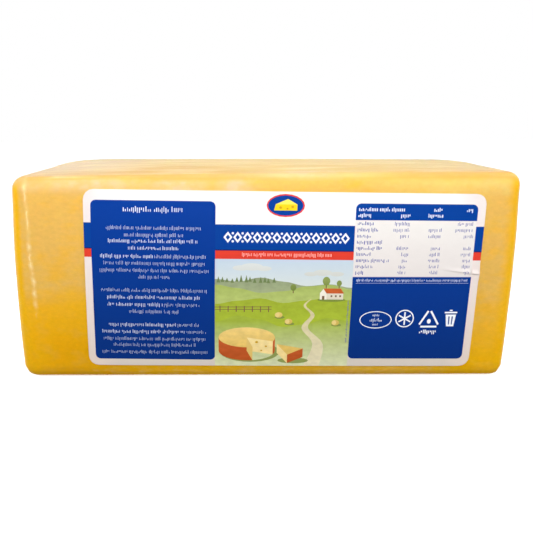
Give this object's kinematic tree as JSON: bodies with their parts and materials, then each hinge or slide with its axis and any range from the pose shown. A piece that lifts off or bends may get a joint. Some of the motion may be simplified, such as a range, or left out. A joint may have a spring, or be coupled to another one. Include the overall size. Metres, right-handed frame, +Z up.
{
  "type": "film-wrapped block of smoked kashkaval cheese",
  "caption": "Long rounded block of golden smoked cheese in tight clear film, with a large blue, white and red printed label on its front.",
  "frame": {"origin": "middle of the base, at the height of the surface it rests on", "axes": "+X along the length towards the right-hand end as the label is seen, +Z up, the labelled front faces -Y"},
  "size_m": [0.2642, 0.1204, 0.1094],
  "materials": {
    "wrapped_cheese": "gloss",
    "label_print": "satin"
  },
  "bodies": {
    "root": {"wrapped_cheese": "wrapped_cheese", "label": "label_print"}
  },
  "joints": []
}
